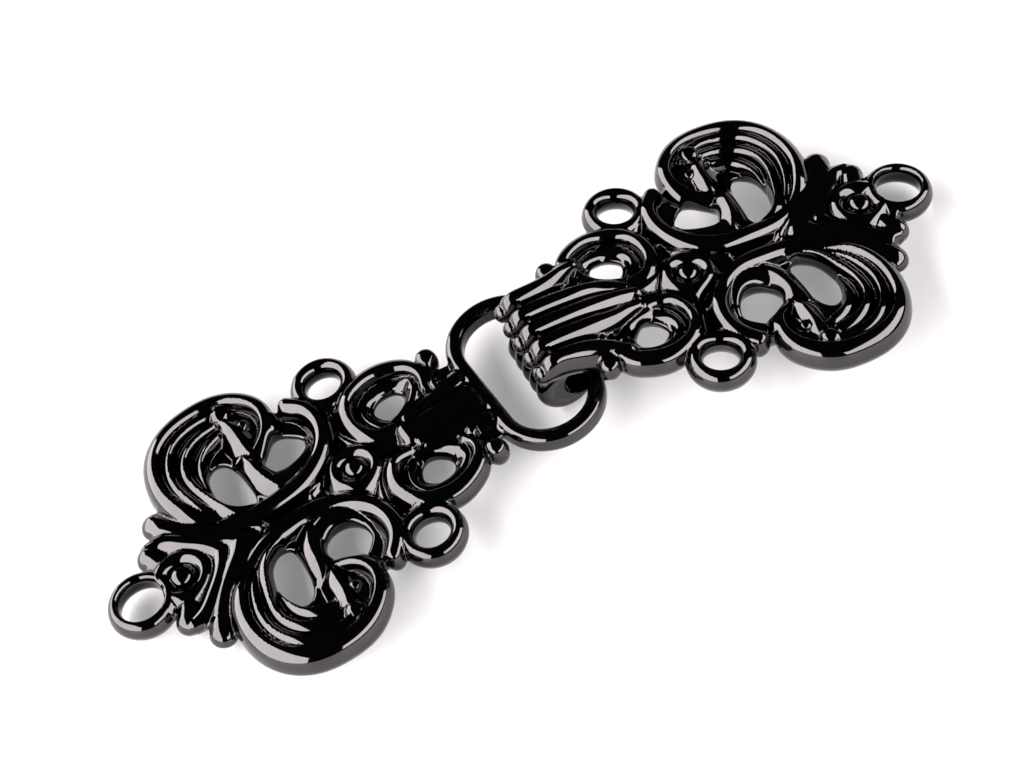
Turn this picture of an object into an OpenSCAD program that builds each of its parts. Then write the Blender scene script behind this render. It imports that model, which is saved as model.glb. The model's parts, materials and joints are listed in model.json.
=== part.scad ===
// Decorative hook and eye clasp for cloaks and cardigans, both halves hooked and lying on a table.
// Each half is one pierced casting. It is drawn flat in its own frame: X runs from its end ring
// to the joint, Y is across and Z is up from its underside. Then it is tilted to its rest.

/* [Casting] */
// Height of the plate between the ridges
plate_h = 1.9; // [1.7:0.1:2.1]
// Height of the ridge crests above the underside
crest_h = 3.3; // [3.1:0.1:3.4]
// Largest radius of the fillets where ridges meet, in plan
fillet = 0.25; // [0.15:0.05:0.35]

/* [Sewing rings] */
// Radius of the hole in each end ring
end_hole_r = 1.85; // [1.7:0.05:2]
// Outer radius of each end ring
end_ring_r = 3; // [2.8:0.1:3.2]
// Radius of the holes in the side rings
side_hole_r = 1.4; // [1.2:0.05:1.5]
// Outer radius of the side rings
side_ring_r = 2.9; // [2.7:0.1:3]
// Height of the straight wall inside a sewing hole
hole_wall = 2.1; // [1.9:0.1:2.2]

/* [Eye loop] */
// Distance from the end ring to the middle of the bar that the hook holds
bar_x = 40.4; // [40:0.1:41]
// Width of the loop's bar, seen from above
bar_w = 1.5; // [1.3:0.1:1.6]
// Height of the loop's bar
bar_h = 2.1; // [1.9:0.1:2.2]
// Radius of the loop's round ends at the middle of the bar
loop_r = 4.1; // [4:0.05:4.2]
// Length of the straight middle of the loop, along the bar
loop_straight = 7.2; // [6.8:0.1:7.6]

/* [Hook] */
// Distance from the end ring to the middle of the hooked bar
throat_x = 31; // [30.8:0.1:31.2]
// Height of the throat that the bar turns in
throat_h = 2.6; // [2.5:0.05:2.7]
// Spare room along the throat, towards the nose
throat_play = 0.9; // [0.7:0.1:1.1]
// Distance from the end ring to the front of the nose
nose_x = 36; // [35.8:0.1:36.2]
// Width across the nose
nose_w = 9.4; // [9:0.1:9.8]
// Height of the fan's bottom beside the hook, clear of the loop's round ends
fan_base = 0.4; // [0.3:0.1:0.6]
// Height of the fan above the underside
fan_h = 3.2; // [3:0.1:3.3]
// Height of the fan's ribs above the underside
rib_h = 3.8; // [3.6:0.1:4]
// Width of the hook under the nose
hook_w = 7.4; // [7:0.1:7.6]
// Distance from the end ring to the tip of the tongue
tongue_x = 26.6; // [26:0.1:27.5]

/* [Rest] */
// Tilt at which the hook half lies on its foot and its end ring
hook_tilt = 6.75; // [6.4:0.05:7]
// Turn of the hook half about the upright
hook_turn = 5.3; // [0:0.1:5.5]
// Place along the bar where the hook hangs
hook_side = -0.7; // [-0.9:0.1:0.5]

/* [Hidden] */
metal = [0.07, 0.07, 0.08];
// Facets of a full circle
smooth = 64;
// Pieces of a ridge between two of its rows
steps = 2;
// How far a cutting shape reaches beyond what it cuts
over = 0.5;

// Rows of a ridge: x, y, width of its foot
inner_arm = [[1.9, 4, 1.8], [3.8, 2.9, 1.6], [5.8, 1.6, 1.4], [7.4, 0.2, 1.2]];
outer_arm = [[3.5, 6.5, 2.2], [4.6, 4.5, 2], [6.4, 2.6, 1.6], [8.6, 1, 1.2], [11, 0.2, 0.8]];
rim = [[9.8, 1.9, 1.2], [7.6, 3.2, 1.3], [6, 5.4, 1.3], [5.5, 8.2, 1.3], [6.1, 11, 1.3],
    [8, 13.3, 1.3], [11, 14.2, 1.3], [14, 13.9, 1.3], [16, 12, 1.3], [16.4, 9.8, 1.2],
    [15.2, 7.7, 1], [13.4, 7.2, 0.8]];
flute_1 = [[9.7, 2.9, 0.9], [7.6, 4.8, 1.1], [6.8, 7.4, 1.1], [7.3, 10, 1.1], [9.4, 12, 1.1],
    [12.3, 12.3, 1.1], [14.5, 11.1, 1.1], [14.7, 9.2, 1], [13.3, 8.4, 0.8]];
flute_2 = [[10, 3.5, 0.7], [8.4, 5.5, 1], [7.9, 7.8, 1], [8.6, 9.9, 1], [10.6, 11.2, 1],
    [12.7, 11.1, 1.2]];
flute_3 = [[9.6, 4.8, 0.6], [8.9, 6.6, 0.8], [9.2, 8.6, 0.9], [10.7, 10, 0.9], [12.3, 10.4, 0.9]];
strand = [[12.8, 11.4, 1.8], [12.7, 9.8, 1.2], [13, 8.2, 1.3], [13, 6.6, 1.2], [12.9, 4.9, 1.2],
    [13.6, 2.8, 1.6]];
band = [[8.6, 2.4, 1.2], [10.6, 1.5, 1.6], [13.2, 1.2, 1.9], [15.6, 1.5, 1.9], [17.8, 2.8, 1.8],
    [19.2, 4.9, 1.7], [19.6, 7.2, 1.6], [19.2, 9, 1.4], [18.3, 8.7, 2]];
band_edge = [[16, 0.5, 0.8], [18.4, 1.8, 0.9], [20.1, 4, 0.9], [20.6, 6.6, 0.8]];
cup = [[20.4, 4.2, 0.7], [21, 2.3, 1], [22.6, 0.9, 1], [24, 0.6, 0.8]];
small_rim = [[24.4, 1.5, 1.2], [22.8, 2.2, 1.2], [22.1, 3.9, 1.3], [22.5, 5.8, 1.3],
    [24, 7.2, 1.3], [26, 7.5, 1.3], [27.9, 6.8, 1.3], [28.8, 5.3, 1.3], [28.4, 4.1, 1.2],
    [27.4, 4.5, 1]];
small_foot = [[24.6, 1.9, 0.9], [26.2, 2.6, 1], [27.6, 3.3, 1]];
outer_rib = [[27.4, 2.6, 0.9], [29, 2.3, 1], [31.3, 2.7, 1]];
side_stem = [[28.6, 4, 0.9], [29.6, 4.7, 0.9], [30.4, 5.6, 1.3]];
palmette_rib = [[24.6, 0.7, 0.9], [27, 0.7, 1], [31.3, 0.8, 1.1]];

// Rows of a fan rib on the hook half
fan_middle = [[24.6, 0, 1.4], [28, 0, 1.6], [35.4, 0, 1.6]];
fan_inner = [[26, 1.9, 1], [27.6, 1, 1.2], [29.4, 1.4, 1.5], [32, 1.7, 1.6], [35.4, 1.75, 1.6]];
fan_outer = [[29.4, 4.4, 1], [30.6, 4.4, 1.5], [32.4, 3.9, 1.6], [35.4, 3.6, 1.6]];

// The filled plate under the ridges, from the end ring round the outside of one side
web = [[0, 0], [3, 5], [6, 9], [7, 12], [10, 13.8], [14, 13.8], [16.4, 11.6], [17.2, 9.6],
    [19.4, 9.4], [20.6, 7.4], [22.6, 6.4], [24.4, 7.4], [27.4, 7], [29.4, 5], [31.8, 4.6], [31.8, 0]];

// Holes through the plate: x, y, radius along X, radius along Y, turn
openings = [[11.1, 5.5, 1.2, 2.6, 8], [16.2, 5.5, 1.75, 1.6, 0], [25.5, 4.2, 1.3, 1.15, 20]];

// Beads: x, y, radius, height
side_beads = [[13.4, 11.9, 0.9, 3], [30.4, 5.6, 0.9, 2.7], [29.2, 2.9, 0.5, 2.5]];
middle_beads = [[3.8, 0, 1.1, 2.8], [20, 0, 0.95, 2.9], [24.3, 0, 0.7, 2.6]];

// Relief layers of a ridge: bottom, top, share of the foot's width
ridge_layers = [[0, 0.4, 1], [0.4, 0.75, 0.72], [0.75, 1, 0.4]];

// How far a sewing hole opens out for each millimetre of height, above its straight wall
hole_flare = 0.4;

// Middle of the side rings
side_ring = [22, 9.3];
// How far the tops of the rings lie below the crests of the ridges
ring_drop = 0.3;
// Height inside the plate where a bead starts
bead_foot = 1;

// Where the hook half's plate ends, inside the fan
fan_inside_x = 29.4;
// Corners of the fan's block on one side, from the scrolls to where it narrows
fan_corners = [[26, 3], [29.6, 5.6], [31, 5.6]];
// Corner cut off the nose, along X and along Y
nose_corner = [0.6, 0.9];
// Front of the bend, from the nose down: distance back from the nose, height above the foot
bend_front = [[0, 1.2], [0.5, 0.4], [1.6, 0]];
// Distance from the throat's end back to the bend's inner face, above the throat
bend_back = 0.5;
// Half the edge cut off the tip of the tongue
tongue_edge = 0.2;
// How far the throat's top lies below the underside of the scrolls
throat_drop = 0.1;
// Height of the throat's middle
throat_z = -throat_h / 2 - throat_drop;
// Height of the middle of the loop's bar
bar_mid = bar_h / 2;

// Heights and tilts at rest: the foot and both end rings touch the table
rest_h = (throat_x + end_ring_r) * sin(hook_tilt) + throat_z * cos(hook_tilt);
eye_reach = bar_x + end_ring_r;
eye_tilt = asin(rest_h / norm([eye_reach, bar_mid])) - atan2(bar_mid, eye_reach);
bar_rest_x = bar_x * cos(eye_tilt) - bar_mid * sin(eye_tilt);
hook_reach = throat_x * cos(hook_tilt) - throat_z * sin(hook_tilt);
hook_end = [bar_rest_x + hook_reach * cos(hook_turn), hook_side - hook_reach * sin(hook_turn)];

// Half the width of a casting, where it is widest
half_w = 14.85;
widest_x = 12;

// Middle of the whole clasp, which the origin lies under
low_y = hook_end[1] + widest_x * sin(hook_turn) - half_w * cos(hook_turn);
middle = [hook_end[0] / 2, (half_w + low_y) / 2];

function spline(a, b, c, d, t) =
    0.5 * (2 * b + (c - a) * t + (2 * a - 5 * b + 4 * c - d) * t * t
    + (3 * b - a - 3 * c + d) * t * t * t);
function path(rows) = [
    for (i = [0:len(rows) - 2], k = [0:steps - 1])
        spline(rows[max(i - 1, 0)], rows[i], rows[i + 1], rows[min(i + 2, len(rows) - 1)], k / steps),
    rows[len(rows) - 1]];
function across(p, i) =
    let (a = p[max(i - 1, 0)], b = p[min(i + 1, len(p) - 1)], d = [b[0] - a[0], b[1] - a[1]])
        [-d[1], d[0]] / norm(d);
function side(p, share, sign) = [
    for (i = [0:len(p) - 1]) [p[i][0], p[i][1]] + sign * share * p[i][2] / 2 * across(p, i)];
function backward(list) = [for (i = [len(list) - 1:-1:0]) list[i]];
function arc(c, r, from, to, count) = [
    for (i = [0:count]) c + r * [cos(from + (to - from) * i / count), sin(from + (to - from) * i / count)]];

// One ridge seen from above, with round ends
module stroke(rows, share) {
    p = path(rows);
    polygon(concat(side(p, share, 1), backward(side(p, share, -1))));
    for (e = [p[0], p[len(p) - 1]])
        translate([e[0], e[1]]) circle(d = share * e[2], $fn = 16);
}

module both_sides() {
    children();
    mirror([0, 1]) children();
}

module scroll_strokes(share) {
    stroke(inner_arm, share);
    stroke(outer_arm, share);
    stroke(rim, share);
    stroke(flute_1, share);
    stroke(flute_2, share);
    stroke(flute_3, share);
    stroke(strand, share);
    stroke(band, share);
    stroke(band_edge, share);
    stroke(cup, share);
    stroke(small_rim, share);
    stroke(small_foot, share);
    stroke(side_stem, share);
}

module palmette_strokes(share) {
    stroke(outer_rib, share);
    stroke(palmette_rib, share);
}

module fan_strokes(share) {
    stroke(fan_middle, share);
    both_sides() {
        stroke(fan_inner, share);
        stroke(fan_outer, share);
    }
}

module holes() {
    for (h = openings)
        translate([h[0], h[1]]) rotate(h[4]) scale([h[2], h[3]]) circle(1, $fn = 28);
}

// Rounds the inner corners of what it is given
module filleted() {
    offset(r = -fillet, $fn = 8) offset(delta = fillet) children();
}

// Plate with its pierced holes, up to the floor of the grooves
module plate(end_x) {
    linear_extrude(plate_h) filleted() difference() {
        intersection() {
            both_sides() {
                scroll_strokes(1);
                polygon(web);
            }
            translate([-over, -2 * half_w]) square([end_x + over, 4 * half_w]);
        }
        both_sides() holes();
    }
}

module ridges(layer) {
    rise = crest_h - plate_h;
    translate([0, 0, plate_h + layer[0] * rise]) linear_extrude((layer[1] - layer[0]) * rise)
        filleted() difference() {
            both_sides() {
                scroll_strokes(layer[2]);
                children();
            }
            both_sides() holes();
        }
}

// Ring for sewing thread, with a rounded top
module ring(r, hole_r) {
    mid = (r + hole_r) / 2;
    half = (r - hole_r) / 2;
    rise = crest_h - ring_drop - hole_wall;
    profile = concat(
        [[hole_r - over, 0], [r, 0]],
        [for (a = [0:30:180]) [mid + half * cos(a), hole_wall + rise * sin(a)]],
        [[hole_r - over, hole_wall]]);
    rotate_extrude($fn = smooth) polygon(profile);
}

module bead(row) {
    profile = concat([[0, bead_foot], [row[2], bead_foot]],
        [for (a = [0:22.5:90]) [row[2] * cos(a), plate_h + (row[3] - plate_h) * sin(a)]]);
    translate([row[0], row[1], 0]) rotate_extrude($fn = 32) polygon(profile);
}

module casting_body(end_x) {
    plate(end_x);
    ridges(ridge_layers[0]) children();
    ridges(ridge_layers[1]) children();
    ridges(ridge_layers[2]) children();
    ring(end_ring_r, end_hole_r);
    for (s = [-1, 1]) translate([side_ring[0], s * side_ring[1], 0]) ring(side_ring_r, side_hole_r);
    for (row = middle_beads) bead(row);
    for (row = side_beads, s = [-1, 1]) bead([row[0], s * row[1], row[2], row[3]]);
}

// A straight bore up to hole_wall, which opens out above it
module sewing_hole(r) {
    rise = crest_h - hole_wall + over;
    translate([0, 0, -over]) cylinder(r = r, h = hole_wall + 2 * over, $fn = smooth);
    translate([0, 0, hole_wall]) cylinder(r1 = r, r2 = r + hole_flare * rise, h = rise, $fn = smooth);
}

module sewing_holes() {
    sewing_hole(end_hole_r);
    for (s = [-1, 1]) translate([side_ring[0], s * side_ring[1], 0]) sewing_hole(side_hole_r);
}

// Section of the loop's bar, standing on the underside
function bar_section(x) = concat(
    [for (a = [180:30:360]) [x + bar_w / 2 * cos(a), bar_w / 2 + bar_w / 2 * sin(a)]],
    [for (a = [0:30:180]) [x + bar_w / 2 * cos(a), bar_h - bar_w / 2 + bar_w / 2 * sin(a)]]);

module eye_loop() {
    loop_x = bar_x - loop_r;
    for (s = [-1, 1]) translate([loop_x, s * loop_straight / 2, 0])
        rotate([0, 0, s > 0 ? 0 : 180]) rotate_extrude(angle = 180, $fn = smooth)
            polygon(bar_section(loop_r));
    for (s = [-1, 1]) translate([loop_x, 0, 0])
        rotate([90, 0, 0]) linear_extrude(loop_straight, center = true) polygon(bar_section(s * loop_r));
}

// The fan's block over the bar, narrowing to the nose
module fan_block() {
    nose = nose_w / 2;
    half = concat(fan_corners, [[nose_x - nose_corner[0], nose], [nose_x, nose - nose_corner[1]]]);
    other_half = [for (p = backward(half)) [p[0], -p[1]]];
    translate([0, 0, fan_base]) linear_extrude(fan_h - fan_base) polygon(concat(half, other_half));
}

// The hook seen from the side: down from the nose, round the bar and back to the tongue's tip
module hook_bend() {
    foot = tan(hook_tilt);
    bend = [throat_x + throat_play, throat_z];
    top = throat_z + throat_h / 2;
    low = throat_z - throat_h / 2;
    foot_front = bend_front[len(bend_front) - 1][0];
    foot_z = -(nose_x - foot_front + end_ring_r) * foot;
    outline = concat(
        [[nose_x, plate_h]],
        [for (p = bend_front) [nose_x - p[0], foot_z + p[1]]],
        [[tongue_x, -(tongue_x + end_ring_r) * foot]],
        [[tongue_x - tongue_edge, low - tongue_edge], [tongue_x + tongue_edge, low]],
        arc(bend, throat_h / 2, -90, 90, 12),
        [[bend[0] - bend_back, top], [bend[0] - bend_back, plate_h]]);
    rotate([90, 0, 0]) linear_extrude(hook_w, center = true) polygon(outline);
}

module fan_ribs() {
    rise = rib_h - fan_h;
    for (layer = ridge_layers)
        translate([0, 0, fan_h + layer[0] * rise]) linear_extrude((layer[1] - layer[0]) * rise)
            filleted() fan_strokes(layer[2]);
    translate([0, 0, plate_h]) linear_extrude(fan_h - plate_h) filleted() fan_strokes(1);
}

module eye_half() {
    color(metal) translate([-middle[0], -middle[1], end_ring_r * sin(eye_tilt)])
        rotate([0, -eye_tilt, 0]) difference() {
            union() {
                casting_body(bar_x - 2 * loop_r) palmette_strokes(1);
                eye_loop();
            }
            sewing_holes();
        }
}

module hook_half() {
    color(metal) translate([hook_end[0] - middle[0], hook_end[1] - middle[1], end_ring_r * sin(hook_tilt)])
        rotate([0, 0, 180 - hook_turn]) rotate([0, -hook_tilt, 0]) difference() {
            union() {
                casting_body(fan_inside_x);
                fan_block();
                hook_bend();
                fan_ribs();
            }
            sewing_holes();
        }
}

eye_half();
hook_half();
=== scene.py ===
import json
import math

import bpy
import numpy as np
from mathutils import Matrix, Vector


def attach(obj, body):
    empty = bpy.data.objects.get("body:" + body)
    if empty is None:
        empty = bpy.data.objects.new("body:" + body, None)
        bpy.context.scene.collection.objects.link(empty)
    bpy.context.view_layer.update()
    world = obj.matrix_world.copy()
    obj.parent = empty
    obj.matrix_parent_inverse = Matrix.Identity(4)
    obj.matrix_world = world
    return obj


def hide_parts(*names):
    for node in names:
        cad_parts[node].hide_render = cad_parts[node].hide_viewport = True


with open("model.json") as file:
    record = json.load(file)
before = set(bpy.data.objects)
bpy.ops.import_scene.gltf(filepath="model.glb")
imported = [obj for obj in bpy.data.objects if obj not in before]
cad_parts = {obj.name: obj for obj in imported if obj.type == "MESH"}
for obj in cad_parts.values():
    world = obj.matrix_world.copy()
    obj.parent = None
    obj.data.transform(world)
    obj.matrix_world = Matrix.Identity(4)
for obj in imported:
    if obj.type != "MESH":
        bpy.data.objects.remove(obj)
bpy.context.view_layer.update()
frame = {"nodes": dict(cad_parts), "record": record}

# Each half is drawn in its own casting frame, in millimetres: X runs from the end ring to the joint,
# Y is across and Z is up from the underside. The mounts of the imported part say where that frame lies.
MM = 0.001

# Fineness: size of a mesh cell and of a plan cell, a mesh cell's corners, mesh cells along a merged block
# of the underside, and how often the mesh is evened out, is pulled onto the surface, and a nearest
# point is improved
CELL = np.array(((0.16, 0.16, 0.21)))
PLAN_CELL = 0.05
CELL_CORNERS = [(i, j, k) for i in (0, 1) for j in (0, 1) for k in (0, 1)]
BLOCK = 8
RELAX_ROUNDS = 3
PULL_ROUNDS = 2
NEAREST_ROUNDS = 4

# How softly ridges meet, outlines meet, openings are cut, and a bar or bend joins its casting
VALLEY = 0.07
NOTCH = 0.12
CUT = 0.05
JOIN = 0.3

# Rounding of the walls, at the top and at the underside, and the lowest ground between ridges
SHOULDER = 0.4
FOOT = 1.7
FLOOR = 1.6

# The plan's lowest X and Y, its highest Y, how far it runs on beyond a casting's end, and the distance
# from metal that all of it starts with
PLAN_LOW = (-3.8, -0.4)
PLAN_HIGH_Y = 15.8
PLAN_MARGIN = 1.0
FAR_OFF = 3.0

# How far round a ridge, a bead, an opening and a sewing hole the plan is changed
RIDGE_REACH = 2.5
BEAD_REACH = 0.5
OPENING_REACH = 1.5
HOLE_REACH = 4.0

# Profiles of a ridge: slope of its flanks, radius of its rounded top, how much the flanks steepen,
# how much they turn down further out, and how many times steeper the flank on the right hand is
ROOF = (0.6, 0.12, 0.45, 0.0, 1.0)
SOFT = (0.5, 0.3, 0.3, 0.0, 1.0)
FLAT = (0.45, 1.2, 0.25, 0.0, 1.0)
THIN = (0.8, 0.06, 0.6, 0.0, 1.0)
LEAF = (0.6, 0.08, 0.22, 0.0, 1.0)
RIM = (0.33, 0.08, 0.3, 0.14, 1.8)
FLUTE = (0.38, 0.05, 0.38, 0.0, 2.4)
BAND = (0.4, 0.25, 0.45, 0.25, 1.0)
FAN_RIB = (0.8, 0.5, 0.5, 0.0, 1.0)

# Ridges of one side: profile, then rows of x, y, half the width of the ground and height of the crest
SCROLL_RIDGES = {
    "petal": (SOFT, [(3.1, 1.9, 0.6, 2.3), (2.7, 3.0, 1.0, 2.6), (2.35, 3.7, 1.15, 2.65)]),
    "inner_arm": (SOFT, [(2.6, 4.4, 0.6, 2.4), (3.7, 4.2, 0.8, 2.6), (4.9, 3.3, 0.7, 2.7),
                         (6.2, 2.0, 0.6, 2.7), (7.1, 0.7, 0.6, 2.7), (7.4, 0.0, 0.5, 2.7)]),
    "lobe": (SOFT, [(4.8, 5.0, 0.8, 2.4), (4.35, 5.9, 1.25, 2.65), (4.15, 6.35, 1.3, 2.6)]),
    "outer_arm": (FLAT, [(4.6, 5.5, 0.9, 2.5), (5.9, 3.7, 0.7, 2.6), (7.4, 2.2, 0.6, 2.7),
                         (8.7, 0.9, 0.6, 2.7), (9.3, 0.0, 0.5, 2.7)]),
    "third_arm": (THIN, [(5.1, 6.0, 0.4, 2.2), (5.7, 4.7, 0.4, 2.4), (6.9, 3.3, 0.4, 2.5),
                         (8.8, 1.9, 0.4, 2.5), (11.2, 0.3, 0.3, 2.3)]),
    "rim": (RIM, [(8.6, 3.0, 0.7, 2.3), (7.6, 3.9, 1.1, 2.8), (6.85, 5.1, 1.3, 3.2), (6.25, 6.7, 1.3, 3.3),
                  (6.1, 8.4, 1.3, 3.3), (6.45, 10.3, 1.3, 3.3), (7.4, 11.95, 1.3, 3.3),
                  (9.1, 13.15, 1.3, 3.3), (11.3, 13.6, 1.25, 3.3), (13.7, 13.3, 1.2, 3.3),
                  (15.45, 12.1, 1.1, 3.3), (16.3, 10.5, 1.05, 3.25), (16.2, 9.0, 0.8, 3.1),
                  (15.4, 7.8, 0.5, 2.8), (14.3, 7.2, 0.4, 2.4)]),
    "flute_1": (FLUTE, [(9.0, 3.4, 0.5, 2.2), (8.15, 4.7, 0.5, 2.7), (7.55, 6.3, 0.5, 3.0),
                        (7.3, 8.2, 0.5, 3.05), (7.7, 10.0, 0.5, 3.05), (8.9, 11.6, 0.5, 3.05),
                        (10.8, 12.35, 0.5, 3.0), (12.9, 12.3, 0.5, 2.9), (14.2, 11.8, 0.4, 2.5)]),
    "flute_2": (FLUTE, [(13.3, 1.7, 0.4, 2.3), (12.1, 2.0, 0.4, 2.5), (10.9, 2.5, 0.4, 2.6),
                        (9.8, 3.5, 0.4, 2.7), (9.2, 4.8, 0.4, 2.75), (8.75, 6.2, 0.5, 2.8),
                        (8.5, 7.6, 0.5, 2.85), (8.65, 9.0, 0.5, 2.85), (9.6, 10.4, 0.5, 2.85),
                        (11.0, 11.1, 0.5, 2.85), (12.6, 11.3, 0.4, 2.8)]),
    "flute_3": (FLUTE, [(9.45, 6.2, 0.3, 2.0), (9.6, 7.6, 0.35, 2.4), (10.2, 9.0, 0.4, 2.55),
                        (11.2, 9.8, 0.4, 2.65), (12.4, 10.2, 0.4, 2.7)]),
    "strand_top": (LEAF, [(13.3, 11.4, 0.7, 2.7), (13.6, 10.3, 0.8, 2.95), (13.7, 9.0, 0.8, 2.95),
                          (13.75, 7.9, 0.6, 2.8), (13.9, 7.1, 0.4, 2.45)]),
    "strand_foot": (LEAF, [(13.0, 7.2, 0.4, 2.3), (13.25, 6.3, 0.6, 2.7), (13.4, 5.2, 0.7, 2.85),
                           (13.65, 4.0, 0.7, 2.85), (14.3, 2.7, 0.5, 2.6)]),
    "curl": (FLAT, [(14.5, 11.3, 0.4, 2.2), (15.0, 10.0, 0.4, 2.25), (14.8, 8.8, 0.4, 2.1)]),
    "bowl": (FLAT, [(14.3, 3.3, 0.5, 2.4), (15.6, 2.9, 0.5, 2.65), (16.9, 3.1, 0.5, 2.75),
                    (17.9, 3.9, 0.5, 2.5), (18.4, 4.8, 0.4, 2.1)]),
    "band": (BAND, [(8.6, 2.5, 0.6, 2.4), (10.6, 1.6, 0.8, 2.7), (13.2, 1.35, 0.9, 3.0),
                    (15.6, 1.5, 0.9, 3.1), (17.9, 2.6, 0.9, 3.15), (19.45, 4.5, 1.0, 3.15),
                    (19.85, 6.5, 1.0, 3.15), (19.4, 8.2, 0.9, 3.1), (18.5, 9.3, 0.9, 3.0)]),
    "band_edge": (THIN, [(16.0, 0.45, 0.4, 2.0), (18.2, 1.7, 0.4, 2.1), (19.9, 3.6, 0.4, 2.1),
                         (20.6, 5.4, 0.4, 2.0)]),
    "cup": (ROOF, [(20.5, 4.2, 0.35, 2.0), (21.1, 2.4, 0.5, 2.2), (22.4, 1.1, 0.5, 2.3),
                   (24.0, 0.7, 0.4, 2.3)]),
    "small_rim": (RIM, [(24.6, 1.5, 0.6, 2.6), (23.2, 1.7, 0.6, 2.8), (22.3, 2.8, 0.65, 2.9),
                        (22.1, 4.4, 0.7, 3.0), (22.7, 5.9, 0.9, 3.1), (24.0, 6.8, 1.05, 3.1),
                        (25.6, 7.1, 1.15, 3.1), (27.2, 6.7, 1.1, 3.1), (28.5, 5.7, 1.0, 3.0),
                        (28.9, 4.4, 0.7, 2.8), (28.6, 3.4, 0.5, 2.5)]),
    "small_lip": (ROOF, [(24.2, 2.3, 0.4, 2.0), (23.4, 3.3, 0.4, 2.1), (23.3, 4.7, 0.4, 2.1),
                         (24.1, 5.7, 0.4, 2.1), (25.6, 6.0, 0.4, 2.1), (27.1, 5.5, 0.4, 2.1),
                         (28.0, 4.7, 0.4, 2.4), (27.9, 4.1, 0.4, 2.5)]),
    "small_foot": (ROOF, [(24.7, 1.9, 0.5, 2.2), (26.0, 2.3, 0.5, 2.3), (27.2, 3.0, 0.5, 2.4),
                          (28.0, 4.0, 0.5, 2.5)]),
    "side_stem": (ROOF, [(28.6, 3.6, 0.5, 2.2), (29.6, 4.5, 0.5, 2.3), (30.4, 5.6, 0.7, 2.4)]),
    "knot": (ROOF, [(25.1, 0.0, 0.8, 2.75), (25.1, 0.7, 0.8, 2.75)]),
}
PALMETTE_RIDGES = {
    "outer_rib": (SOFT, [(26.0, 1.9, 0.4, 2.3), (27.8, 1.9, 0.4, 2.5), (29.3, 2.0, 0.6, 2.65),
                         (30.3, 2.3, 0.7, 2.6), (31.3, 2.6, 0.5, 2.4)]),
    "palmette_rib": (FLAT, [(25.8, 0.3, 0.4, 2.5), (28.4, 0.4, 0.5, 2.6), (31.3, 0.5, 0.5, 2.5)]),
}

# Beads. Rows: x, y, radius, height
SIDE_BEADS = [(13.5, 12.0, 0.95, 3.1), (14.6, 9.9, 0.55, 2.75), (30.2, 5.8, 1.05, 2.9),
              (29.5, 3.1, 0.5, 2.6)]
MIDDLE_BEADS = [(3.7, 0.0, 1.1, 2.9), (20.0, 0.0, 1.0, 2.9)]

# Raised rings round the middle beads. Rows: x, y, radius of the crest, height
BEAD_RINGS = [(3.7, 0.0, 1.95, 2.75), (20.0, 0.0, 1.75, 2.75)]

# Sewing rings, at the end and at one side. Rows: x, y, outer radius, hole's radius, crest's radius, height
SEWING_RINGS = [(0.0, 0.0, 3.0, 1.85, 2.25, 2.75), (22.0, 9.3, 2.9, 1.4, 2.15, 2.75)]

# One side of the ground that the ridges stand on, from the end ring round the outside
WEB = [(-0.5, 0), (3, 5), (6, 9), (7, 12), (10, 13.8), (14, 13.8), (16.4, 11.6), (17.2, 9.6), (19.4, 9.4),
       (20.6, 7.4), (22.6, 6.4), (24.4, 7.4), (27.4, 7), (29.4, 5), (31.8, 4.6), (31.8, 0)]

# Outlines of the openings, as points that a closed curve runs through
OPENINGS = [
    [(9.6, 6.4), (10.0, 7.7), (10.9, 8.3), (11.7, 7.6), (12.1, 6.0), (12.2, 4.4), (12.0, 3.1), (11.2, 2.8),
     (10.2, 3.6), (9.7, 5.0)],
    [(14.4, 5.7), (15.2, 6.7), (16.3, 7.5), (17.4, 6.8), (18.0, 5.9), (17.7, 4.8), (16.8, 4.0),
     (15.6, 3.95), (14.7, 4.6)],
    [(24.2, 4.3), (25.0, 5.1), (26.2, 5.1), (26.8, 4.4), (26.5, 3.5), (25.5, 2.8), (24.6, 3.2)],
]

# Eye loop: middle of the hooked bar, radius of the round ends, half of the straight between them,
# and the bar's width and height
BAR_X = 40.4
LOOP_R = 4.1
LOOP_HALF = 3.6
BAR_W = 1.5
BAR_H = 2.1

# Hook: middle of its throat, the throat's radius, spare room along X, where its slot ends beyond the
# tongue's tip, and how softly its edges are rounded
THROAT = (31.0, -1.4)
THROAT_R = 1.3
THROAT_PLAY = 0.9
THROAT_START = 24.6
THROAT_EDGE = 0.2

# The bend under the nose, as it looks from the side: X and Z. Then its width, the rounding of those
# corners, how softly they meet the round front, and the rounding towards its sides
BEND = [(34.3, 1.6), (34.3, -2.6), (33.9, -3.4), (33.2, -3.85), (26.9, -3.2), (26.75, -3.05),
        (31.0, -3.05), (31.75, 0.2), (31.75, 1.6)]
BEND_W = 6.6
BEND_CORNER = 0.3
BEND_FRONT_BLEND = 0.3
BEND_SIDE_ROUND = 1.5

# The lobes down the front of the bend run round its middle: X and Z, distance from it, radius of a lobe,
# how softly a lobe meets the bend, and where each one lies across
LOBE_MIDDLE = (32.9, -1.6)
LOBE_RING = 1.75
LOBE_R = 0.78
LOBE_BLEND = 0.15
LOBES_Y = [-2.65, -1.33, 0.0, 1.33, 2.65]

# Fan: front of the nose, and how much, where and over what length the underside rises under it
NOSE_X = 36.0
FAN_RISE = 0.4
FAN_START = 29.4
FAN_RUN = 0.4

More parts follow.
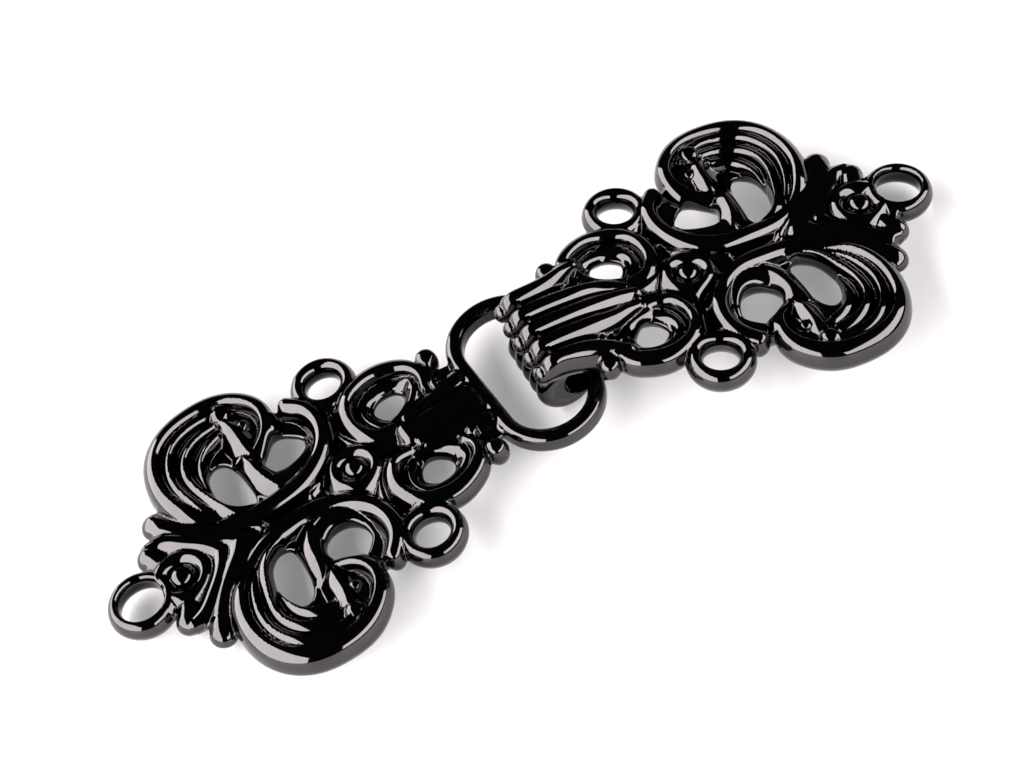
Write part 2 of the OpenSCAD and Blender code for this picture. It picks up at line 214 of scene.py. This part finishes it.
# Ribs of the fan, on the axis and on one side, with rows as for the ridges
FAN_RIBS = [
    [(24.9, 0.0, 0.6, 2.9), (26.8, 0.0, 0.7, 3.4), (29.0, 0.0, 0.8, 3.7), (33.7, 0.0, 0.9, 3.75)],
    [(25.2, 1.1, 0.4, 2.6), (26.3, 1.45, 0.5, 3.0), (27.7, 1.8, 0.7, 3.35), (29.3, 1.87, 0.8, 3.65),
     (31.0, 1.87, 0.9, 3.75), (33.7, 1.87, 0.9, 3.75)],
    [(28.2, 5.3, 0.7, 3.0), (29.3, 4.75, 0.8, 3.4), (30.6, 4.2, 0.9, 3.65), (32.0, 3.9, 0.9, 3.75),
     (33.6, 3.8, 0.9, 3.75)],
]
# How a rib ends in a round cap. Rows: distance beyond the rib's last row, half width, height
FAN_CAP = [(0.5, 0.9, 3.69), (0.9, 0.88, 3.52), (1.25, 0.86, 3.25), (1.5, 0.84, 2.9), (1.6, 0.8, 2.65)]
# One side of the ground under the fan, and the part of the plan that it changes
FAN_GROUND = [(26, 3), (28.4, 5.8), (30, 5.4), (34.2, 4.5)]
FAN_AREA = ((25, -1), (NOSE_X + 1, 7))

# Boxes that the castings are drawn in: lowest and highest X, Y and Z
EYE_BOX = ((-3.6, -15.5, -0.5), (BAR_X + 1.3, 15.5, 3.4))
HOOK_BOX = ((-3.6, -15.5, -4.8), (NOSE_X + 0.6, 15.5, 4.4))


def smooth_min(a, b, k):
    """Least of two fields, rounded over k. A field is its value, alone or with its three slopes."""
    w = np.clip(0.5 + (b[0] - a[0]) / (2 * k), 0, 1)
    out = w * a + (1 - w) * b
    out[0] -= k * w * (1 - w)
    return out


def smooth_max(a, b, k):
    """Greatest of two fields, rounded over k."""
    return -smooth_min(-a, -b, k)


def rounded_max(a, b, radius):
    """Greatest of two fields, with a corner of that radius."""
    u, v = np.maximum(a[0] + radius, 0), np.maximum(b[0] + radius, 0)
    far = np.sqrt(u * u + v * v)
    both = (u > 0) & (v > 0)
    share = np.where(both, u / (far + 1e-9), a[0] > b[0])
    other = np.where(both, v / (far + 1e-9), a[0] <= b[0])
    out = share * a + other * b
    out[0] = np.where(both, far - radius, np.maximum(a[0], b[0]))
    return out


def measured_field(function, coordinates, with_slopes, step=0.004):
    """A field from a plain function of the coordinates, with its slopes by small steps."""
    rows = [function(*coordinates)]
    for k in range(3 if with_slopes else 0):
        up, down = list(coordinates), list(coordinates)
        up[k] = coordinates[k] + step
        down[k] = coordinates[k] - step
        rows.append((function(*up) - function(*down)) / (2 * step))
    return np.array(rows)


def soften(a, b, k):
    """Greatest of two plain arrays, rounded over k."""
    return smooth_max(a[None], b[None], k)[0]


class Curve:
    """A natural cubic spline through rows of numbers, run by the distance between their first two."""

    def __init__(self, rows, spacing=0.2):
        self.rows = np.array(rows, float)
        steps = np.linalg.norm(np.diff(self.rows[:, :2], axis=0), axis=1)
        self.knots = np.concatenate([[0.0], np.cumsum(steps)])
        n = len(self.rows)
        matrix = np.eye(n)
        right = np.zeros_like(self.rows)
        for i in range(1, n - 1):
            a, b = steps[i - 1], steps[i]
            matrix[i, i - 1:i + 2] = a, 2 * (a + b), b
            right[i] = 6 * ((self.rows[i + 1] - self.rows[i]) / b - (self.rows[i] - self.rows[i - 1]) / a)
        self.bend = np.linalg.solve(matrix, right)
        self.length = self.knots[-1]
        self.s = np.linspace(0, self.length, max(3, int(self.length / spacing)))
        self.samples = self.at(self.s)[0]

    def at(self, s):
        """Values, first and second derivatives at the distances s."""
        i = np.clip(np.searchsorted(self.knots, s, side="right") - 1, 0, len(self.knots) - 2)
        h = (self.knots[i + 1] - self.knots[i])[:, None]
        b = (s - self.knots[i])[:, None] / h
        a = 1 - b
        p, q, u, v = self.rows[i], self.rows[i + 1], self.bend[i], self.bend[i + 1]
        value = a * p + b * q + ((a ** 3 - a) * u + (b ** 3 - b) * v) * h * h / 6
        slope = (q - p) / h + (-(3 * a * a - 1) * u + (3 * b * b - 1) * v) * h / 6
        return value, slope, a * u + b * v

    def start(self, points, batch=20000):
        """Distance along the curve of the sample nearest to each point."""
        nearest = np.empty(len(points), int)
        for i in range(0, len(points), batch):
            gap = ((points[i:i + batch, None, :] - self.samples[None, :, :2]) ** 2).sum(-1)
            nearest[i:i + batch] = gap.argmin(1)
        return self.s[nearest]

    def nearest(self, points, least=0.3):
        """Distance along the curve of the point nearest to each point, by steps that least keeps short."""
        s = self.start(points)
        for _ in range(NEAREST_ROUNDS):
            value, slope, bend = self.at(s)
            offset = points - value[:, :2]
            speed = (slope[:, :2] ** 2).sum(1)
            down = np.maximum(speed - (offset * bend[:, :2]).sum(1), least * speed)
            s = np.clip(s + (offset * slope[:, :2]).sum(1) / down, 0, self.length)
        return s


def round_curve(corners, count=6):
    """Closed smooth curve through the corners, as a polygon."""
    corners = np.array(corners, float)
    a, c, d = np.roll(corners, 1, 0), np.roll(corners, -1, 0), np.roll(corners, -2, 0)
    points = []
    for t in np.arange(count) / count:
        points.append(0.5 * (2 * corners + (c - a) * t + (2 * a - 5 * corners + 4 * c - d) * t * t
                             + (3 * corners - a - 3 * c + d) * t ** 3))
    return np.stack(points, 1).reshape(-1, 2)


def both_sides(corners):
    """An outline from the corners of one side, with those off the axis mirrored after them."""
    return corners + [(x, -y) for x, y in reversed(corners) if y > 0]


def polygon_distance(corners, x, y):
    """Signed distance to a closed polygon, negative inside."""
    x, y = np.broadcast_arrays(x, y)
    best = np.full(x.shape, np.inf)
    inside = np.zeros(x.shape, bool)
    count = len(corners)
    for i in range(count):
        (ax, ay), (bx, by) = corners[i], corners[(i + 1) % count]
        ex, ey = bx - ax, by - ay
        along = np.clip(((x - ax) * ex + (y - ay) * ey) / (ex * ex + ey * ey), 0, 1)
        best = np.minimum(best, np.hypot(x - ax - along * ex, y - ay - along * ey))
        if ey != 0:
            inside ^= ((ay > y) != (by > y)) & (x < ax + (y - ay) * ex / ey)
    return np.where(inside, -best, best)


def fall(distance, profile):
    """How far a ridge's flank lies below its crest at a distance from it."""
    slope, tip, bend, turn = profile[:4]
    return slope * (np.sqrt(distance ** 2 + tip ** 2) - tip) + bend * distance ** 2 + turn * distance ** 4


class Plan:
    """One side of a casting seen from above, on a grid: height of its top and distance from its edge."""

    def __init__(self, end_x):
        self.low = np.array(PLAN_LOW)
        high = np.array([end_x + PLAN_MARGIN, PLAN_HIGH_Y])
        count = np.ceil((high - self.low) / PLAN_CELL).astype(int) + 1
        self.x = self.low[0] + PLAN_CELL * np.arange(count[0])
        self.y = self.low[1] + PLAN_CELL * np.arange(count[1])
        self.height = np.full(count, FLOOR)
        self.edge = np.full(count, FAR_OFF)

    def block(self, low=(-np.inf, -np.inf), high=(np.inf, np.inf)):
        """The part of the grid between two corners, and its coordinates."""
        i = np.nonzero((self.x > low[0]) & (self.x < high[0]))[0]
        j = np.nonzero((self.y > low[1]) & (self.y < high[1]))[0]
        x, y = np.meshgrid(self.x[i], self.y[j], indexing="ij")
        return (slice(i[0], i[-1] + 1), slice(j[0], j[-1] + 1)), x, y

    def block_round(self, cx, cy, reach):
        """The part of the grid round a point, and its distances from that point."""
        part, x, y = self.block((cx - reach, cy - reach), (cx + reach, cy + reach))
        return part, np.hypot(x - cx, y - cy)

    def raise_to(self, part, top):
        """Raises the top where it lies lower, with soft valleys."""
        self.height[part] = soften(self.height[part], top, VALLEY)

    def widen_to(self, part, edge):
        """Adds ground to the outline, with soft notches."""
        self.edge[part] = -soften(-self.edge[part], -edge, NOTCH)

    def ridge(self, profile, rows):
        """A ridge on its own ground, along a curve through the rows."""
        curve = Curve(rows)
        low, high = curve.samples[:, :2].min(0), curve.samples[:, :2].max(0)
        part, x, y = self.block(low - RIDGE_REACH, high + RIDGE_REACH)
        points = np.stack([x.ravel(), y.ravel()], -1)
        value, slope, _ = curve.at(curve.nearest(points))
        offset = points - value[:, :2]
        distance = np.linalg.norm(offset, axis=1)
        on_right = slope[:, 0] * offset[:, 1] - slope[:, 1] * offset[:, 0] < 0
        lean = profile[4]
        steeper = np.where(on_right, lean, 1.0)
        half, crest = value[:, 2], value[:, 3]
        self.raise_to(part, (crest - fall(distance * steeper, profile)).reshape(x.shape))
        self.widen_to(part, (distance - half).reshape(x.shape))

    def ring(self, cx, cy, middle, crest, outer=None):
        """A round ridge, and its ground if it has an outer radius."""
        part, far = self.block_round(cx, cy, middle + RIDGE_REACH)
        self.raise_to(part, crest - fall(far - middle, ROOF))
        if outer:
            self.widen_to(part, far - outer)

    def bead(self, cx, cy, radius, top, ground=False):
        """A ball that is let into the top, on its own ground or on what is there."""
        part, far = self.block_round(cx, cy, radius + BEAD_REACH)
        dome = top - radius + np.sqrt(np.maximum(radius ** 2 - far ** 2, 0))
        self.raise_to(part, np.where(far < radius, dome, FLOOR))
        if ground:
            self.widen_to(part, far - radius)

    def cut(self, corners):
        """An opening that goes right through."""
        corners = round_curve(corners)
        part, x, y = self.block(corners.min(0) - OPENING_REACH, corners.max(0) + OPENING_REACH)
        self.edge[part] = soften(self.edge[part], -polygon_distance(corners, x, y), CUT)

    def close(self):
        """Cuts the sewing holes and measures the slopes."""
        for cx, cy, _, hole, _, _ in SEWING_RINGS:
            part, far = self.block_round(cx, cy, HOLE_REACH)
            self.edge[part] = np.maximum(self.edge[part], hole - far)
        self.layers = [self.height, *np.gradient(self.height, PLAN_CELL),
                       self.edge, *np.gradient(self.edge, PLAN_CELL)]

    def at(self, x, y):
        """Height and distance from the edge, each with its slopes along X and Y, at any points."""
        u = np.clip((x - self.low[0]) / PLAN_CELL, 0, len(self.x) - 1.001)
        v = np.clip((np.abs(y) - self.low[1]) / PLAN_CELL, 0, len(self.y) - 1.001)
        i, j = u.astype(int), v.astype(int)
        a, b = u - i, v - j
        out = [(layer[i, j] * (1 - a) + layer[i + 1, j] * a) * (1 - b)
               + (layer[i, j + 1] * (1 - a) + layer[i + 1, j + 1] * a) * b for layer in self.layers]
        side = np.sign(y)
        return out[0], out[1], out[2] * side, out[3], out[4], out[5] * side


def scroll_plan(end_x):
    """What both halves share."""
    plan = Plan(end_x)
    part, x, y = plan.block()
    plan.widen_to(part, polygon_distance(both_sides(WEB), x, y))
    for profile, rows in SCROLL_RIDGES.values():
        plan.ridge(profile, rows)
    for row in BEAD_RINGS:
        plan.ring(*row)
    for row in MIDDLE_BEADS:
        plan.bead(*row)
    for row in SIDE_BEADS:
        plan.bead(*row, ground=True)
    for corners in OPENINGS:
        plan.cut(corners)
    for x, y, outer, _, middle, crest in SEWING_RINGS:
        plan.ring(x, y, middle, crest, outer)
    return plan


def eye_plan():
    """The shared scrolls, then the palmette that carries the loop."""
    plan = scroll_plan(BAR_X - 2 * LOOP_R)
    for profile, rows in PALMETTE_RIDGES.values():
        plan.ridge(profile, rows)
    plan.close()
    return plan


def hook_plan():
    """The shared scrolls, then the fan with its ribs."""
    plan = scroll_plan(NOSE_X)
    part, x, y = plan.block(*FAN_AREA)
    plan.widen_to(part, polygon_distance(both_sides(FAN_GROUND), x, y))
    for rows in FAN_RIBS:
        end_x, end_y = rows[-1][:2]
        plan.ridge(FAN_RIB, rows + [(end_x + step, end_y, half, top) for step, half, top in FAN_CAP])
    plan.close()
    return plan


def stadium(x, y):
    """Distance on the plan from the middle line of the eye loop."""
    off = np.abs(y) - LOOP_HALF
    u = x - (BAR_X - LOOP_R)
    round_end = np.abs(np.hypot(u, np.maximum(off, 0)) - LOOP_R)
    straight = np.abs(np.abs(u) - LOOP_R)
    return np.where(off > 0, round_end, straight)


def loop_shape(x, y, z):
    """The loop's bar: an upright oval section that runs round a stadium."""
    half = BAR_W / 2
    off = np.maximum(np.abs(z - BAR_H / 2) - (BAR_H / 2 - half), 0)
    return np.sqrt(stadium(x, y) ** 2 + off ** 2) - half


def hook_bend(x, y, z):
    """The bend under the nose and the tongue, round the throat, with lobes down its front."""
    far = np.hypot(x - LOBE_MIDDLE[0], z - LOBE_MIDDLE[1])
    outline = np.array([polygon_distance(BEND, x, z) - BEND_CORNER])
    front = np.array([far - LOBE_RING - LOBE_R / 2])
    sides = np.array([np.abs(y) - BEND_W / 2])
    body = rounded_max(smooth_min(outline, front, BEND_FRONT_BLEND), sides, BEND_SIDE_ROUND)
    for lobe_y in LOBES_Y:
        lobe = np.array([np.sqrt((far - LOBE_RING) ** 2 + (y - lobe_y) ** 2) - LOBE_R])
        body = smooth_min(body, lobe, LOBE_BLEND)
    slot = np.clip(x, THROAT_START, THROAT[0] + THROAT_PLAY)
    throat = np.array([THROAT_R - np.hypot(x - slot, z - THROAT[1])])
    return smooth_max(body, throat, THROAT_EDGE)[0]


def flat_base(x):
    """Height of a flat underside, and its slope."""
    return 0 * x, 0 * x


def fan_base(x):
    """Height of the underside, which rises at the fan, and its slope."""
    t = np.clip((x - FAN_START) / FAN_RUN + 0.5, 0, 1)
    return FAN_RISE * t * t * (3 - 2 * t), FAN_RISE * 6 * t * (1 - t) / FAN_RUN


class Casting:
    """One half as a field of distances in millimetres, negative inside the metal."""

    def __init__(self, plan, box, extra, base):
        self.plan = plan
        self.low, self.high = np.array(box, float)
        self.extra = extra
        self.base = base

    def at(self, x, y, z, with_slopes=True):
        """Field at any points, with its three slopes after it."""
        height, height_x, height_y, edge, edge_x, edge_y = self.plan.at(x, y)
        steep = np.sqrt(1 + height_x ** 2 + height_y ** 2)
        base, base_x = self.base(x)
        top = [(z - height) / steep, -height_x / steep, -height_y / steep, 1 / steep]
        side = [edge, edge_x, edge_y, 0]
        under = [base - z, base_x, 0, -1]
        rows = 4 if with_slopes else 1
        full = 0 * (x + y + z)
        top, side, under = (np.array([row + full for row in field[:rows]]) for field in (top, side, under))
        body = rounded_max(rounded_max(top, side, SHOULDER), under, FOOT)
        return smooth_min(body, measured_field(self.extra, (x, y, z), with_slopes), JOIN)

    def grid(self):
        """Field on a regular grid."""
        count = np.ceil((self.high - self.low) / CELL).astype(int) + 1
        x, y, z = np.meshgrid(*(self.low[k] + CELL[k] * np.arange(count[k]) for k in range(3)),
                              indexing="ij", sparse=True)
        return self.at(x, y, z, False)[0]


def net_vertices(f, cells):
    """Mean of the points where the surface crosses each cell's edges, counted in cells."""
    place = np.zeros((len(cells), 3))
    weight = np.zeros(len(cells))
    for a in CELL_CORNERS:
        for axis in range(3):
            if a[axis]:
                continue
            b = tuple(a[k] + (k == axis) for k in range(3))
            fa = f[tuple((cells + a).T)]
            fb = f[tuple((cells + b).T)]
            crossed = (fa < 0) != (fb < 0)
            t = np.where(crossed, fa / np.where(crossed, fa - fb, 1), 0)
            spot = np.tile(np.array(a, float), (len(cells), 1))
            spot[:, axis] += t
            place += spot * crossed[:, None]
            weight += crossed
    return cells + place / weight[:, None]


def net_quads(inside, number):
    """A quad between the four cells round each grid edge that the surface crosses, wound outward."""
    quads = []
    for axis in range(3):
        u, v = [k for k in range(3) if k != axis]
        first = [slice(1, -1)] * 3
        first[axis] = slice(0, -1)
        second = list(first)
        second[axis] = slice(1, None)
        a, b = inside[tuple(first)], inside[tuple(second)]
        for crossed, flip in ((a & ~b, False), (~a & b, True)):
            edges = np.argwhere(crossed) + np.array([k != axis for k in range(3)])
            ring = []
            for du, dv in ((-1, -1), (0, -1), (0, 0), (-1, 0)):
                spot = edges.copy()
                spot[:, u] += du
                spot[:, v] += dv
                ring.append(number[tuple(spot.T)])
            quad = np.stack(ring, -1)
            turned = flip != (axis == 1)
            quads.append(quad[:, ::-1] if turned else quad)
    return np.concatenate(quads)


def surface_net(f, low, cell):
    """Vertices and quads on the zero level of a grid, and each vertex's cell.

    Every cell that the surface crosses holds one vertex."""
    inside = f < 0
    shape = tuple(n - 1 for n in f.shape)
    total = sum(inside[i:i + shape[0], j:j + shape[1], k:k + shape[2]].astype(np.int8)
                for i, j, k in CELL_CORNERS)
    cells = np.argwhere((total > 0) & (total < len(CELL_CORNERS)))
    number = np.full(shape, -1, np.int64)
    number[tuple(cells.T)] = np.arange(len(cells))
    return low + cell * net_vertices(f, cells), net_quads(inside, number), cells


def settle(casting, points, quads, least=0.05):
    """Evens the vertices out along the surface, puts each one on it, and gives the surface's normals.

    A squared slope under least counts as least, so that no vertex jumps."""
    edges = np.concatenate([quads[:, [k, (k + 1) % 4]] for k in range(4)])
    edges = np.concatenate([edges, edges[:, ::-1]])
    count = np.bincount(edges[:, 0], minlength=len(points))
    field = casting.at(*points.T)
    for _ in range(RELAX_ROUNDS):
        sums = [np.bincount(edges[:, 0], points[edges[:, 1], k], len(points)) for k in range(3)]
        move = (np.stack(sums, -1) / count[:, None] - points) / 2
        for _ in range(PULL_ROUNDS):
            gradient = field[1:].T
            size = np.maximum((gradient ** 2).sum(1), least)[:, None]
            move -= gradient * ((move * gradient).sum(1)[:, None] + field[0][:, None]) / size
            length = np.linalg.norm(move, axis=1)[:, None]
            points = points + move * np.minimum(1, CELL[0] / (length + 1e-9))
            field = casting.at(*points.T)
            move = np.zeros_like(points)
    normals = field[1:].T
    return points, normals / (np.linalg.norm(normals, axis=1)[:, None] + 1e-12)


def merge_underside(quads, cells, normals, base=1000, straight_down=-0.9999):
    """Replaces blocks of quads on the flat underside by fans round the block's middle.

    A block's key is its level and its two numbers as digits of that base."""
    level = cells[quads][:, :, 2]
    flat = (normals[quads][:, :, 2] < straight_down).all(1) & (level.min(1) == level.max(1))
    block = cells[quads][:, :, :2].min(1) // BLOCK
    keys = (level[:, 0] * base + block[:, 0]) * base + block[:, 1]
    found, inverse, counts = np.unique(np.where(flat, keys, -1), return_inverse=True, return_counts=True)
    whole = (counts == BLOCK ** 2) & (found >= 0)
    inner = whole[inverse]
    index = {tuple(cells[vertex]): vertex for vertex in np.unique(quads[inner])}
    faces = []
    for key in found[whole]:
        k, rest = divmod(int(key), base ** 2)
        i, j = (BLOCK * number for number in divmod(rest, base))
        far_i, far_j = i + BLOCK, j + BLOCK
        loop = [(i, j + n) for n in range(BLOCK)] + [(i + n, far_j) for n in range(BLOCK)]
        loop += [(far_i, far_j - n) for n in range(BLOCK)] + [(far_i - n, j) for n in range(BLOCK)]
        loop = [index[(*spot, k)] for spot in loop]
        middle = index[(i + BLOCK // 2, j + BLOCK // 2, k)]
        faces += [(a, b, middle) for a, b in zip(loop, loop[1:] + loop[:1])]
    return quads[~inner].tolist() + faces


def casting_frame(half):
    """Axes and origin of a half's casting frame in the row frame, from its sewing holes."""
    mounts = {m["name"]: m for m in frame["record"]["mounts"]}
    end, a, b = (mounts[half + name] for name in ("_end_hole", "_side_hole_a", "_side_hole_b"))
    z = Vector(end["axis"]).normalized()
    x = (Vector(a["pos_m"]) + Vector(b["pos_m"])) / 2 - Vector(end["pos_m"])
    x = (x - z * x.dot(z)).normalized()
    y = z.cross(x)
    origin = Vector(end["pos_m"]) - z * end["dims"]["length_mm"] * MM / 2
    turn = Matrix((x, y, z)).transposed().to_4x4()
    return Matrix.Translation(origin) @ turn @ Matrix.Scale(MM, 4)


def add_casting(name, casting, place):
    """Builds a casting's mesh, in place, with the field's own normals."""
    points, quads, cells = surface_net(casting.grid(), casting.low, CELL)
    points, normals = settle(casting, points, quads)
    faces = merge_underside(quads, cells, normals)
    used, faces_flat = np.unique(np.concatenate([np.array(face) for face in faces]), return_inverse=True)
    sizes = np.array([len(face) for face in faces])
    faces = [part.tolist() for part in np.split(faces_flat, np.cumsum(sizes)[:-1])]
    matrix = np.array(place)
    points = points[used] @ matrix[:3, :3].T + matrix[:3, 3]
    normals = normals[used] @ matrix[:3, :3].T / MM
    mesh = bpy.data.meshes.new(name)
    mesh.from_pydata(points.tolist(), [], faces)
    mesh.polygons.foreach_set("use_smooth", np.ones(len(mesh.polygons), bool))
    mesh.normals_split_custom_set_from_vertices(normals.tolist())
    mesh.update()
    piece = bpy.data.objects.new(name, mesh)
    bpy.context.scene.collection.objects.link(piece)
    return piece


# Black nickel: darkest and lightest tint, least and greatest roughness, the stops between which both
# change, the strength and depth of its waves, and the noises of the three as scale and detail
METAL_TINTS = ((0.053, 0.051, 0.0525), (0.063, 0.060, 0.061))
METAL_ROUGHNESS = (0.035, 0.07)
RAMP_STOPS = (0.3, 0.7)
WAVE_STRENGTH = 0.04
WAVE_DEPTH = 0.02 * MM
TINT_NOISE = (400, 4)
GLOSS_NOISE = (900, 6)
WAVE_NOISE = (700, 2)


def black_metal():
    """Mirror-bright black nickel over a cast surface: faint waves, and a gloss that varies a little."""
    material = bpy.data.materials.new("black_metal")
    material.use_nodes = True
    nodes, links = material.node_tree.nodes, material.node_tree.links
    shader = nodes["Principled BSDF"]
    shader.inputs["Metallic"].default_value = 1.0
    place = nodes.new("ShaderNodeTexCoord")

    def noise(scale, detail):
        node = nodes.new("ShaderNodeTexNoise")
        node.inputs["Scale"].default_value = scale
        node.inputs["Detail"].default_value = detail
        links.new(place.outputs["Object"], node.inputs["Vector"])
        return node

    def ramp(source, low, high):
        node = nodes.new("ShaderNodeValToRGB")
        for element, stop, colour in zip(node.color_ramp.elements, RAMP_STOPS, (low, high)):
            element.position = stop
            element.color = (*colour, 1.0)
        links.new(source.outputs["Fac"], node.inputs["Fac"])
        return node

    tint = ramp(noise(*TINT_NOISE), *METAL_TINTS)
    links.new(tint.outputs["Color"], shader.inputs["Base Color"])
    gloss = ramp(noise(*GLOSS_NOISE), *((value,) * 3 for value in METAL_ROUGHNESS))
    links.new(gloss.outputs["Color"], shader.inputs["Roughness"])
    bump = nodes.new("ShaderNodeBump")
    bump.inputs["Strength"].default_value = WAVE_STRENGTH
    bump.inputs["Distance"].default_value = WAVE_DEPTH
    links.new(noise(*WAVE_NOISE).outputs["Fac"], bump.inputs["Height"])
    links.new(bump.outputs["Normal"], shader.inputs["Normal"])
    return material


# The table: its colour, roughness, faint glow and size in metres
TABLE_COLOUR = (0.72, 0.716, 0.728, 1.0)
TABLE_ROUGHNESS = 0.6
TABLE_GLOW = (1.0, 0.99, 1.0, 1.0)
TABLE_GLOW_STRENGTH = 0.22
TABLE_SIZE = 3.0


def table_material():
    """Pale matt paper. Its glow keeps the shadows as light as in the photo."""
    material = bpy.data.materials.new("white_table")
    material.use_nodes = True
    shader = material.node_tree.nodes["Principled BSDF"]
    shader.inputs["Base Color"].default_value = TABLE_COLOUR
    shader.inputs["Roughness"].default_value = TABLE_ROUGHNESS
    shader.inputs["Emission Color"].default_value = TABLE_GLOW
    shader.inputs["Emission Strength"].default_value = TABLE_GLOW_STRENGTH
    return material


def add_table():
    """The pale plane that the clasp lies on, which isn't part of it."""
    bpy.ops.mesh.primitive_plane_add(size=TABLE_SIZE, location=(0, 0, 0))
    table = bpy.context.object
    table.name = "table"
    table.data.materials.append(table_material())


# Camera, measured from the eye half's casting frame: its aim there and its distance in millimetres,
# its angles in degrees, and its near limit in metres
CAMERA_AIM = (34.423, -1.584, 2.642)
CAMERA_DISTANCE = 197.48
CAMERA_AZIMUTH = -15.79
CAMERA_ELEVATION = 51.68
CAMERA_ROLL = -19.64
CAMERA_NEAR = 0.01
FOCAL_PIXELS = 2428
IMAGE_WIDTH = 1024
SENSOR = 36.0


def add_camera(place):
    """The photo's camera, from the place of the eye half."""
    az, el, roll = (math.radians(v) for v in (CAMERA_AZIMUTH, CAMERA_ELEVATION, CAMERA_ROLL))
    back = Vector((math.sin(az) * math.cos(el), -math.cos(az) * math.cos(el), math.sin(el)))
    right = Vector((0, 0, 1)).cross(back).normalized()
    up = back.cross(right)
    right, up = right * math.cos(roll) + up * math.sin(roll), up * math.cos(roll) - right * math.sin(roll)
    turn = place.to_3x3() * (1 / MM)
    pose = (turn @ Matrix((right, up, back)).transposed()).to_4x4()
    data = bpy.data.cameras.new("camera")
    data.sensor_width = SENSOR
    data.lens = FOCAL_PIXELS / IMAGE_WIDTH * SENSOR
    data.clip_start = CAMERA_NEAR
    camera = bpy.data.objects.new("camera", data)
    bpy.context.scene.collection.objects.link(camera)
    centre = place @ (Vector(CAMERA_AIM) + back * CAMERA_DISTANCE)
    camera.matrix_world = Matrix.Translation(centre) @ pose
    bpy.context.scene.camera = camera


# Softboxes, where the photo's highlights show them. Rows: name, azimuth in degrees, then in metres
# distance, width, bottom and top, and radiance
SOFTBOXES = [
    ("softbox_left", 165, 0.5, 1.9, 0.03, 0.62, 9.0),
    ("softbox_right", -50, 0.6, 1.2, 0.12, 0.44, 9.0),
]
SOFTBOX_COLOUR = (1.0, 0.96, 0.95)
STUDIO_COLOUR = (0.02, 0.02, 0.022, 1.0)


def add_softbox(name, azimuth, distance, width, bottom, top, radiance):
    """An upright panel of light that stands by the table and faces the clasp."""
    data = bpy.data.lights.new(name, "AREA")
    data.shape = "RECTANGLE"
    data.size, data.size_y = width, top - bottom
    data.energy = radiance * math.pi * width * (top - bottom)
    data.color = SOFTBOX_COLOUR
    light = bpy.data.objects.new(name, data)
    bpy.context.scene.collection.objects.link(light)
    turn = math.radians(azimuth)
    light.location = (distance * math.cos(turn), distance * math.sin(turn), (bottom + top) / 2)
    light.rotation_euler = (math.pi / 2, 0, turn + math.pi / 2)


def add_studio():
    """The softboxes, and the dim room round them."""
    for row in SOFTBOXES:
        add_softbox(*row)
    world = bpy.data.worlds.new("studio")
    bpy.context.scene.world = world
    world.use_nodes = True
    background = world.node_tree.nodes["Background"]
    background.inputs["Color"].default_value = STUDIO_COLOUR
    bpy.context.scene.view_settings.view_transform = "Standard"


add_camera(casting_frame("eye"))
add_table()
add_studio()
metal = black_metal()
castings = {
    "eye": Casting(eye_plan(), EYE_BOX, loop_shape, flat_base),
    "hook": Casting(hook_plan(), HOOK_BOX, hook_bend, fan_base),
}
for half, casting in castings.items():
    piece = add_casting(half + "_casting", casting, casting_frame(half))
    piece.data.materials.append(metal)
    node = frame["nodes"][half + "_half"]
    node.data.materials.clear()
    node.data.materials.append(metal)
    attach(piece, half)
    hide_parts(half + "_half")
